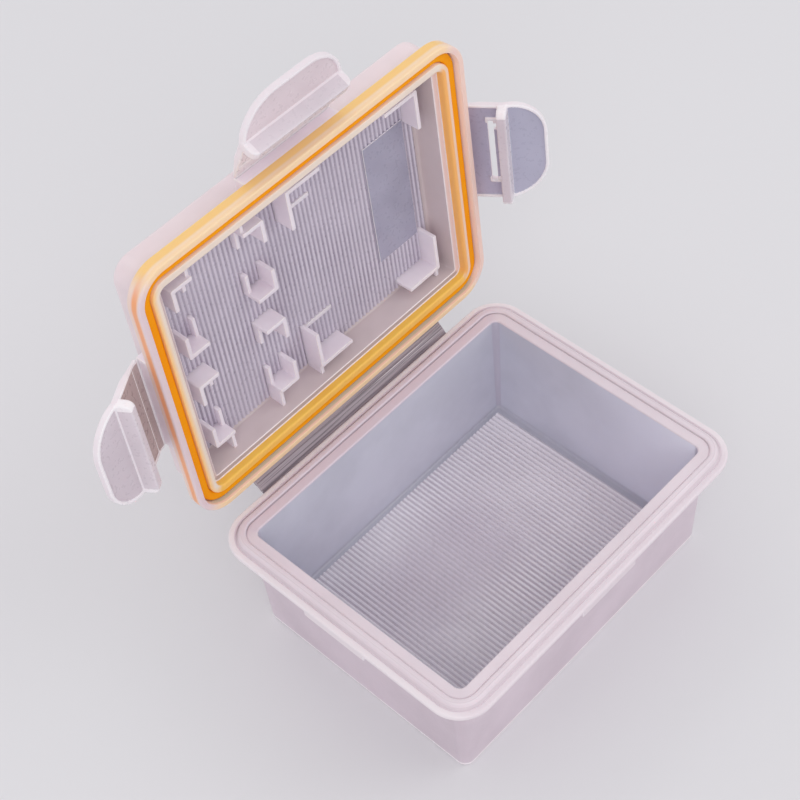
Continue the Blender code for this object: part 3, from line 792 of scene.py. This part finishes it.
def build_base(materials):
    foot = WALL - OUTER_DRAFT
    bead_start = BEAD_OFFSET - BEAD_WIDTH / 2
    bead_end = BEAD_OFFSET + BEAD_WIDTH / 2
    lip_inner = FLANGE_REACH - LIP_WIDTH
    low_line = LIP_TOP - LINE_DEPTH
    high_line = RIM_HEIGHT - LINE_DEPTH
    section = rounded_path([
        (foot - CLOSING_WIDTH, 0.0, 0.0),
        (foot, 0.0, FOOT_RADIUS),
        (WALL, FLANGE_UNDERSIDE, FLANGE_FILLET),
        (FLANGE_REACH, FLANGE_UNDERSIDE, FLANGE_LOWER_RADIUS),
        (FLANGE_REACH, LIP_TOP, LIP_RADIUS),
        (lip_inner + LINE_SLOPE, LIP_TOP, LIP_INNER_RADIUS),
        (lip_inner, low_line, LINE_RADIUS),
        (lip_inner - LINE_WIDTH, low_line, LINE_RADIUS),
        (bead_end, RIM_HEIGHT - LIP_DROP / 4, BEAD_OUTER_FILLET),
        (bead_end - BEAD_SLOPE, BEAD_TOP, BEAD_RADIUS),
        (bead_start + BEAD_SLOPE, BEAD_TOP, BEAD_RADIUS),
        (bead_start, high_line, BEAD_INNER_FILLET),
        (bead_start - LINE_SLOPE, RIM_HEIGHT, LINE_EDGE_RADIUS),
        (0.0, RIM_HEIGHT, OPENING_RADIUS),
        (-INNER_DRAFT, FLOOR, FLOOR_FILLET),
        (-INNER_DRAFT - CLOSING_WIDTH, FLOOR, 0.0),
    ])
    base = make_object("box_shell", loft_ring(section, BOX_SLOTS, box_zone), materials)
    # The catches' rounded edges take the painted edge highlight
    rim, edge = BOX_SLOTS.index("rim"), BOX_SLOTS.index("edge")
    tools = []
    for half, turn in CATCH_SIDES:
        low = (-CATCH_LENGTH / 2, -half - FLANGE_REACH + SHY, CATCH_UNDERSIDE)
        high = (CATCH_LENGTH / 2, -half - WALL / 2, FLANGE_UNDERSIDE + CATCH_EMBED)
        tools.append(turn_about_z(box_mesh(low, high, CATCH_RADIUS, rim, edge), turn))
    combine(base, tools, "UNION")
    mat = ribbed_mat(FLOOR_RIBS_HALF_X, FLOOR_RIBS_HALF_Y, FLOOR, 1, BOX_SLOTS.index("ribs"))
    add_closed_mesh(base, mat)
    mark_places(base)
    shade(base)
    return base


# Lid
def card_clips():
    """Tools of the card pockets: tall corner clips, their gussets and low rests, standing on the panel."""
    floor = PANEL_HEIGHT + EMBED
    # The rounded tops of the clips and rests take the painted edge highlight
    main, edge = LID_SLOTS.index("clip"), LID_SLOTS.index("edge")
    clips, ribs = [], []

    def clip(corner, side, leg_x, leg_y, height):
        shape = rounded_path([
            (-CLIP_WALL, -CLIP_WALL, CLIP_OUTER_RADIUS),
            (leg_x, -CLIP_WALL, CLIP_END_RADIUS),
            (leg_x, 0.0, CLIP_END_RADIUS),
            (0.0, 0.0, CLIP_INNER_RADIUS),
            (0.0, leg_y, CLIP_END_RADIUS),
            (-CLIP_WALL, leg_y, CLIP_END_RADIUS),
        ], closed=True, step=math.radians(30.0))
        bm = bmesh.new()
        outline = [(corner[0] + side[0] * x, corner[1] + side[1] * y, floor) for x, y in shape]
        top = extrude_outline(bm, outline, (0.0, 0.0, -EMBED - height), main)
        bmesh.ops.recalc_face_normals(bm, faces=bm.faces)
        round_edges(bm, top.edges[:], CLIP_TOP_RADIUS, CLIP_EDGE_STEPS, edge)
        clips.append(bm)

    def rib(low, high, height):
        """Rib a little shy of the walls that it runs into, so that no two faces lie in one plane."""
        bottom = (low[0] + SHY, low[1], PANEL_HEIGHT - height)
        bm = box_mesh(bottom, (high[0] - SHY, high[1], floor), slot=main)
        top = [e for e in bm.edges if all(v.co.z < PANEL_HEIGHT for v in e.verts)]
        round_edges(bm, top, CLIP_TOP_RADIUS, CLIP_EDGE_STEPS, edge)
        ribs.append(bm)

    wall_y = OPENING_HALF_Y + LID_CAVITY_EDGE + EMBED
    for side_x in (-1, 1):
        for side_y in (-1, 1):
            corner = (SD_CENTRE_X + side_x * SD_HALF.x, side_y * SD_HALF.y)
            clip(corner, (-side_x, -side_y), SD_LEGS.x, SD_LEGS.y, SD_CLIP_HEIGHT)
            ends = sorted((corner[0], corner[0] + side_x * CLIP_WALL))
            reach = sorted((side_y * (SD_HALF.y + CLIP_WALL / 2), side_y * wall_y))
            rib((ends[0], reach[0]), (ends[1], reach[1]), SD_CLIP_HEIGHT - REST_HEIGHT)
            for row in (-1, 1):
                inner = (
                    MICRO_CENTRE_X + side_x * MICRO_HALF.x,
                    row * MICRO_PITCH / 2 + side_y * MICRO_HALF.y,
                )
                clip(inner, (-side_x, -side_y), MICRO_ARM, MICRO_LEG, MICRO_CLIP_HEIGHT)
                far = inner[0] - side_x * MICRO_ARM
                ends = sorted((far, far + side_x * CLIP_WALL))
                reach = sorted((inner[1] + side_y * CLIP_WALL / 2, inner[1] - side_y * MICRO_LEG))
                rib((ends[0], reach[0]), (ends[1], reach[1]), MICRO_REST_HEIGHT)
                if row == side_y:
                    reach = sorted((side_y * wall_y, inner[1] + side_y * CLIP_WALL / 2))
                    rib((ends[0], reach[0]), (ends[1], reach[1]), MICRO_CLIP_HEIGHT - REST_HEIGHT)
    for row in (-1, 1):
        start = SD_CENTRE_X - SD_HALF.x - CLIP_WALL / 2
        middle = row * (SD_HALF.y - SD_LEGS.y + CLIP_WALL)
        rib((start, middle - CLIP_WALL / 2), (start + SD_REST_LENGTH, middle + CLIP_WALL / 2), REST_HEIGHT)
    return clips + ribs


def latch_bosses():
    """Tools of the blocks on the lid's band that the latch films start from."""
    tools = []
    # The blocks take the lighter clip tone as painted light against the shade under the latches, and their
    # rounded edges take the painted edge highlight
    main, edge = LID_SLOTS.index("clip"), LID_SLOTS.index("edge")
    for half, turn in LATCH_SIDES.values():
        face = -half - LATCH_AXIS_OUT + HINGE_BEAD + GAP
        low = (-LATCH_HALF, face, BAND_TOP - BOSS_EMBED)
        high = (LATCH_HALF, -half + BOSS_DEPTH, LATCH_AXIS_Z + BOSS_ABOVE_AXIS)
        tools.append(turn_about_z(box_mesh(low, high, BOSS_RADIUS, main, edge), turn))
    return tools


def lid_zone(outset, height, length):
    if SEAT_RIB_INNER - SHY < outset < SEAT_RIB_OUTER + SHY and height < LEDGE_HEIGHT - ZONE_MARGIN:
        return "seat rib" if outset < SEAT_RIB_INNER + SHY else "rib tip"
    if SEAT_RIB_OUTER < outset < RIM_INNER + SHY and MATING_HEIGHT + ZONE_MARGIN < height < BAND_TOP:
        return "groove"
    if outset > RIM_INNER - SHY and height < BAND_TOP + SHY:
        return "band"
    # Small arcs take the painted edge highlight
    if length < SMALL_ARC and height < PANEL_HEIGHT - MM:
        return "edge"
    if height < LEDGE_HEIGHT + SHY:
        return "ledge"
    if outset < LID_CAVITY_EDGE + SHY and height < PANEL_HEIGHT + SHY:
        return "wall"
    return "outside"


def build_lid(materials):
    section = rounded_path([
        (LID_CAVITY_EDGE - CLOSING_WIDTH, PANEL_HEIGHT, 0.0),
        (LID_CAVITY_EDGE - PANEL_DRAFT, PANEL_HEIGHT, PANEL_FILLET),
        (LID_CAVITY_EDGE, LEDGE_HEIGHT, CAVITY_RADIUS),
        (SEAT_RIB_INNER, LEDGE_HEIGHT, LEDGE_FILLET),
        (SEAT_RIB_INNER, SEAT_RIB_TIP, TIP_INNER_RADIUS),
        (SEAT_RIB_OUTER, SEAT_RIB_TIP, TIP_OUTER_RADIUS),
        (SEAT_RIB_OUTER, GROOVE_TOP, GROOVE_FILLET),
        (RIM_INNER, GROOVE_TOP, GROOVE_FILLET),
        (RIM_INNER, MATING_HEIGHT, MATING_INNER_RADIUS),
        (LID_EDGE, MATING_HEIGHT, MATING_OUTER_RADIUS),
        (LID_EDGE, BAND_TOP, BAND_RADIUS),
        (BODY_EDGE, BAND_TOP, BAND_FILLET),
        (BODY_EDGE, LID_TOP, LID_TOP_RADIUS),
        (BODY_EDGE - CLOSING_WIDTH, LID_TOP, 0.0),
    ])
    lid = make_object("lid_cover", loft_ring(section, LID_SLOTS, lid_zone), materials)
    mat = ribbed_mat(LID_RIBS_HALF_X, LID_RIBS_HALF_Y, PANEL_HEIGHT, -1, LID_SLOTS.index("ribs"))
    # The pad's rounded edges take the lighter clip tone as a painted highlight
    pad = box_mesh(
        (PAD_CENTRE_X - PAD_WIDTH / 2, -PAD_LENGTH / 2, PANEL_HEIGHT - PAD_HEIGHT),
        (PAD_CENTRE_X + PAD_WIDTH / 2, PAD_LENGTH / 2, PANEL_HEIGHT + EMBED),
        PAD_RADIUS, LID_SLOTS.index("pad"), LID_SLOTS.index("clip"),
    )
    combine(lid, [pad] + card_clips() + latch_bosses(), "UNION")
    add_closed_mesh(lid, mat)
    mark_places(lid)
    shade(lid)
    return lid


# Seal ring
def build_gasket(materials):
    inner = BEAD_OFFSET - GASKET_WIDTH / 2
    outer = BEAD_OFFSET + GASKET_WIDTH / 2
    section = rounded_path([
        (inner, GASKET_FACE, GASKET_FACE_RADIUS),
        (outer, GASKET_FACE, GASKET_FACE_RADIUS),
        (outer, GASKET_BACK, GASKET_BACK_RADIUS),
        (inner, GASKET_BACK, GASKET_BACK_RADIUS),
    ], closed=True)
    gasket = make_object("seal_ring", loft_ring(section, closed=True), materials)
    shade(gasket, 60.0)
    return gasket


# Latches, modelled as they hang shut: X along the hinge, -Y outwards, tab below
def tab_block(inset, near, far):
    half = LATCH_HALF - inset
    bm = box_mesh((-half, -far, -TAB_LENGTH + inset), (half, -near, EMBED))
    end = -TAB_LENGTH + inset + EMBED
    corners = [
        e for e in bm.edges
        if all(v.co.z < end for v in e.verts) and abs(e.verts[0].co.y - e.verts[1].co.y) > LONG_EDGE
    ]
    round_edges(bm, corners, TAB_CORNER - inset, TAB_CORNER_STEPS)
    bmesh.ops.rotate(bm, cent=(0, -LATCH_FACE, 0), matrix=Matrix.Rotation(-TAB_BEND, 3, "X"), verts=bm.verts)
    bmesh.ops.translate(bm, vec=(0, 0, -HOOK_DISTANCE), verts=bm.verts)
    return bm


def paint_latch(latch):
    """Give each face its slot from its depth below the border, with the tab bent straight."""
    pivot = Vector((0.0, -LATCH_FACE, -HOOK_DISTANCE))
    straighten = Matrix.Rotation(TAB_BEND, 3, "X")
    for face in latch.data.polygons:
        place = face.center.copy()
        normal = face.normal
        slot = "panel pocket"
        if place.z < -HOOK_DISTANCE:
            place = straighten @ (place - pivot) + pivot
            normal = straighten @ normal
            slot = "tab pocket"
        side = abs(place.x)
        at_hook = abs(face.center.z + HOOK_DISTANCE) < HOOK_THICKNESS / 2 + HOOK_MARGIN
        if at_hook and face.center.y > -LATCH_PLATE + POCKET_DEPTH and side < LATCH_HALF - HOOK_END:
            slot = "hook"
        elif place.z > ROOT_END and side < LATCH_HALF - LATCH_BORDER and normal.y > 0.5:
            slot = "panel pocket"
        elif place.y > -LATCH_PLATE + POCKET_DEPTH:
            slot = "border"
        elif normal.y < 0.5:
            slot = "outside"
        face.material_index = LATCH_SLOTS.index(slot)


def build_latch(name, materials):
    top = -HINGE_BEAD - GAP
    angles = [math.pi * k / BEAD_STEPS for k in range(BEAD_STEPS + 1)]
    bead = [(HINGE_BEAD * math.cos(angle), HINGE_BEAD * math.sin(angle)) for angle in angles]
    side = bead + [(-HINGE_BEAD, top), (-LATCH_BACK, top - LATCH_ROOT_TAPER), (-LATCH_BACK, -HOOK_DISTANCE)]
    side += [(-LATCH_FACE, -HOOK_DISTANCE), (-LATCH_FACE, top)]
    panel = bmesh.new()
    extrude_outline(panel, [(-LATCH_HALF, y, z) for y, z in side], (2 * LATCH_HALF, 0.0, 0.0))
    latch = make_object(name, panel, materials)
    combine(latch, [tab_block(0.0, LATCH_FACE, LATCH_BACK)], "UNION")
    pocket_x = LATCH_HALF - LATCH_BORDER
    pocket = box_mesh(
        (-pocket_x, -LATCH_PLATE, -HOOK_DISTANCE),
        (pocket_x, -LATCH_FACE + EMBED, top - LATCH_BORDER),
    )
    slot_level = -HOOK_DISTANCE + SLOT_SPACING
    slot_start = -SLOT_SHIFT - SLOT_LENGTH / 2
    slot_ends = [
        box_mesh(
            (end - SLOT_END, -LATCH_PLATE - EMBED, slot_level - SLOT_SPACING),
            (end + SLOT_END, -LATCH_FACE, slot_level + SLOT_WIDTH / 2 + SLOT_END / 2),
            SLOT_END / 2,
        )
        for end in (slot_start, slot_start + SLOT_LENGTH)
    ]
    slot = box_mesh(
        (slot_start, -LATCH_BACK - EMBED, slot_level - SLOT_WIDTH / 2),
        (slot_start + SLOT_LENGTH, -LATCH_PLATE + 2 * EMBED, slot_level + SLOT_WIDTH / 2),
    )
    notch_start = slot_start + NOTCH_LENGTH / 2
    notch = box_mesh(
        (notch_start, -LATCH_BACK - EMBED, slot_level - SLOT_WIDTH),
        (notch_start + NOTCH_LENGTH, -LATCH_PLATE + 2 * EMBED, slot_level),
    )
    combine(latch, [pocket, tab_block(LATCH_BORDER, LATCH_FACE - EMBED, LATCH_PLATE)], "DIFFERENCE")
    combine(latch, slot_ends, "UNION")
    combine(latch, [slot, notch], "DIFFERENCE")
    hook_x = LATCH_HALF + HOOK_OVERHANG
    hook = box_mesh(
        (-hook_x, -LATCH_PLATE - EMBED, -HOOK_DISTANCE - HOOK_THICKNESS / 2),
        (hook_x, -LATCH_PLATE + HOOK_REACH, -HOOK_DISTANCE + HOOK_THICKNESS / 2),
    )
    ends = [
        e for e in hook.edges
        if abs(e.verts[0].co.z - e.verts[1].co.z) > LONG_EDGE and e.verts[0].co.y > -LATCH_PLATE
    ]
    round_edges(hook, ends, HOOK_REACH / 2, HOOK_STEPS)
    combine(latch, [hook], "UNION")
    rounded_remesh(latch, LATCH_VOXEL, SOFTENING_PASSES)
    paint_latch(latch)
    return latch


# Hinge strap, standing up from its lower film with the box shut
def build_strap(materials):
    half = STRAP_THICKNESS / 2
    raised = half + STRAP_BAR_RISE
    middle = STRAP_LENGTH / 2
    section = rounded_path([
        (-STRAP_EDGE_HALF, -STRAP_EDGE_REACH, STRAP_EDGE_RADIUS),
        (STRAP_EDGE_HALF, -STRAP_EDGE_REACH, STRAP_EDGE_RADIUS),
        (half, STRAP_TAPER, STRAP_TAPER_RADIUS),
        (half, middle - STRAP_BAR_HALF, STRAP_BAR_RADIUS),
        (raised, middle - STRAP_BAR_HALF / 2, STRAP_BAR_RADIUS),
        (raised, middle + STRAP_BAR_HALF / 2, STRAP_BAR_RADIUS),
        (half, middle + STRAP_BAR_HALF, STRAP_BAR_RADIUS),
        (half, STRAP_LENGTH - STRAP_TAPER, STRAP_TAPER_RADIUS),
        (STRAP_EDGE_HALF, STRAP_LENGTH + STRAP_EDGE_REACH, STRAP_EDGE_RADIUS),
        (-STRAP_EDGE_HALF, STRAP_LENGTH + STRAP_EDGE_REACH, STRAP_EDGE_RADIUS),
        (-half, STRAP_LENGTH - STRAP_TAPER, STRAP_TAPER_RADIUS),
        (-half, middle + STRAP_LINE_HALF, STRAP_LINE_RADIUS),
        (-half + STRAP_LINE_DEPTH, middle, STRAP_LINE_RADIUS),
        (-half, middle - STRAP_LINE_HALF, STRAP_LINE_RADIUS),
        (-half, STRAP_TAPER, STRAP_TAPER_RADIUS),
    ], closed=True)
    bm = bmesh.new()
    extrude_outline(bm, [(-STRAP_HALF, y, z) for y, z in section], (2 * STRAP_HALF, 0.0, 0.0))
    strap = make_object("hinge_strip", bm, materials)
    shade(strap, 40.0)
    return strap


# Film hinges, each a thin skin from one piece's edge to the bead of the next
def build_film(name, start, end, half_width, materials, matrix):
    """Straight strip along X between two (y, z) points, from the first body to the second."""
    start, end = Vector(start), Vector(end)
    side = (end - start).orthogonal().normalized() * FILM_THICKNESS / 2
    steps = [start.lerp(end, k / FILM_STEPS) for k in range(FILM_STEPS + 1)]
    outline = [p + side for p in steps] + [p - side for p in reversed(steps)]
    bm = bmesh.new()
    extrude_outline(bm, [(-half_width, *p) for p in outline], (2 * half_width, 0.0, 0.0))
    film = make_object(name, bm, materials)
    film.data.transform(matrix)
    film.data.shade_smooth()
    film.data.set_sharp_from_angle(angle=math.radians(40.0))
    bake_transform(film)
    return film


# Places at rest
def joint(name):
    return next(j for j in frame["joints"] if j["name"] == name)


def opened(name):
    """How far a joint stands open at rest, in radians: its range starts where the piece is shut."""
    return math.radians(-joint(name)["range_deg"][0])


def lid_matrix():
    """From the shut box to the lid's place at rest."""
    base_axis = Vector(joint("hinge_base_film")["pos_m"])
    lid_axis = Vector(joint("hinge_lid_film")["pos_m"])
    tilt = opened("hinge_base_film") + opened("hinge_lid_film")
    shut_axis = base_axis + Vector((0.0, 0.0, STRAP_LENGTH))
    return Matrix.Translation(lid_axis) @ Matrix.Rotation(-tilt, 4, "X") @ Matrix.Translation(-shut_axis)


def strap_matrix():
    base_axis = Vector(joint("hinge_base_film")["pos_m"])
    return Matrix.Translation(base_axis) @ Matrix.Rotation(-opened("hinge_base_film"), 4, "X")


# Studio
def build_studio():
    scene = bpy.context.scene
    scene.view_settings.view_transform = "Standard"
    floor_material = bpy.data.materials.new("pale floor")
    nodes = Nodes(floor_material)
    nodes.shader.inputs["Base Color"].default_value = (*srgb(226, 225, 228), 1.0)
    nodes.shader.inputs["Roughness"].default_value = 0.9
    nodes.shader.inputs["Specular IOR Level"].default_value = 0.2
    bm = bmesh.new()
    bmesh.ops.create_grid(bm, x_segments=1, y_segments=1, size=3.0)
    floor = make_object("floor", bm, [floor_material])
    floor.location.z = -STUDIO_FLOOR_DROP
    world = bpy.data.worlds.new("studio")
    scene.world = world
    world.use_nodes = True
    background = world.node_tree.nodes["Background"]
    background.inputs["Color"].default_value = (0.99, 0.985, 1.0, 1.0)
    background.inputs["Strength"].default_value = 0.76
    for name, place, size, power in (
        ("key", (-0.35, -0.35, 0.45), 0.4, 0.8),
        ("fill", (0.4, -0.3, 0.35), 0.4, 0.45),
        ("back", (0.0, 0.5, 0.45), 0.4, 0.35),
    ):
        light = bpy.data.lights.new(name, "AREA")
        light.size = size
        light.energy = power
        lamp = bpy.data.objects.new(name, light)
        scene.collection.objects.link(lamp)
        lamp.location = place
        lamp.rotation_euler = (LAMP_TARGET - Vector(place)).to_track_quat("-Z", "Y").to_euler()


def build_camera():
    """Camera fitted to the photograph's view."""
    data = bpy.data.cameras.new("camera")
    data.sensor_width = 36.0
    data.lens = 79.75
    data.shift_x = 0.0243
    data.shift_y = 0.0625
    data.clip_start = 0.01
    camera = bpy.data.objects.new("camera", data)
    bpy.context.scene.collection.objects.link(camera)
    camera.location = Vector((-106.94, -102.31, 227.06)) * MM
    camera.rotation_euler = (math.radians(37.146), math.radians(4.348), math.radians(-46.861))
    bpy.context.scene.camera = camera


def place_piece(piece, matrix, body, node):
    """Take a piece from the shut box to its place at rest, where it stands for a CAD node."""
    piece.data.transform(matrix)
    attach(piece, body)
    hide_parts(node)


def main():
    build_studio()
    build_camera()
    box_look = box_materials()
    lid_look = lid_materials()
    # Strap plastic: grey that stands in for the dark seen through the clear strap, with dark streaks of
    # painted shade and light streaks of painted highlight
    clear = plastic(
        "strap plastic", cloudy(168, 156, 165), 0.2, 0.1,
        (painted_streaks(srgb(124, 114, 122), 0.5, 0.62), painted_streaks(srgb(216, 204, 211), 0.62, 0.7)),
    )
    rubber = plastic("seal rubber", (srgb(255, 156, 0), srgb(255, 166, 4)), 0.7, 0.1, specular=0.2)

    base = build_base([box_look[name] for name in BOX_SLOTS])
    place_piece(base, Matrix.Identity(4), "base", "base_shell")
    opened_lid = lid_matrix()
    lid = build_lid([lid_look[name] for name in LID_SLOTS])
    place_piece(lid, opened_lid, "lid", "lid_shell")
    place_piece(build_gasket([rubber]), opened_lid, "lid", "seal_gasket")
    place_piece(build_strap([clear]), strap_matrix(), "strap", "hinge_strap")

    axis_y, axis_z = joint("hinge_base_film")["pos_m"][1:]
    box_edge = (OPENING_HALF_Y + FLANGE_REACH - FILM_SINK, axis_z + FILM_LIFT)
    lower = build_film(
        "lower_hinge_film", box_edge, (axis_y, axis_z),
        STRAP_HALF, [clear], Matrix.Identity(4),
    )
    upper_z = axis_z + STRAP_LENGTH
    upper = build_film(
        "upper_hinge_film", (axis_y, upper_z), (LID_HALF_Y - FILM_SINK, upper_z),
        STRAP_HALF, [clear], opened_lid,
    )

    for side_name, (half, yaw) in LATCH_SIDES.items():
        latch_look = latch_materials(side_name)
        turned_lid = opened_lid @ Matrix.Rotation(math.radians(yaw), 4, "Z")
        swing = Matrix.Rotation(-opened(f"latch_{side_name}_film"), 4, "X")
        hang = Matrix.Translation((0.0, -half - LATCH_AXIS_OUT, LATCH_AXIS_Z))
        body = f"{side_name}_latch"
        latch = build_latch(f"{side_name}_latch_plate", [latch_look[name] for name in LATCH_SLOTS])
        place_piece(latch, turned_lid @ hang @ swing, body, f"latch_{side_name}")
        # The latch film wears the border's painted highlight
        film = build_film(
            f"{side_name}_latch_film",
            (-half + LATCH_FILM_SINK, LATCH_AXIS_Z), (-half - LATCH_AXIS_OUT, LATCH_AXIS_Z),
            LATCH_HALF - LATCH_FILM_INSET, [latch_look["border"]], turned_lid,
        )


main()
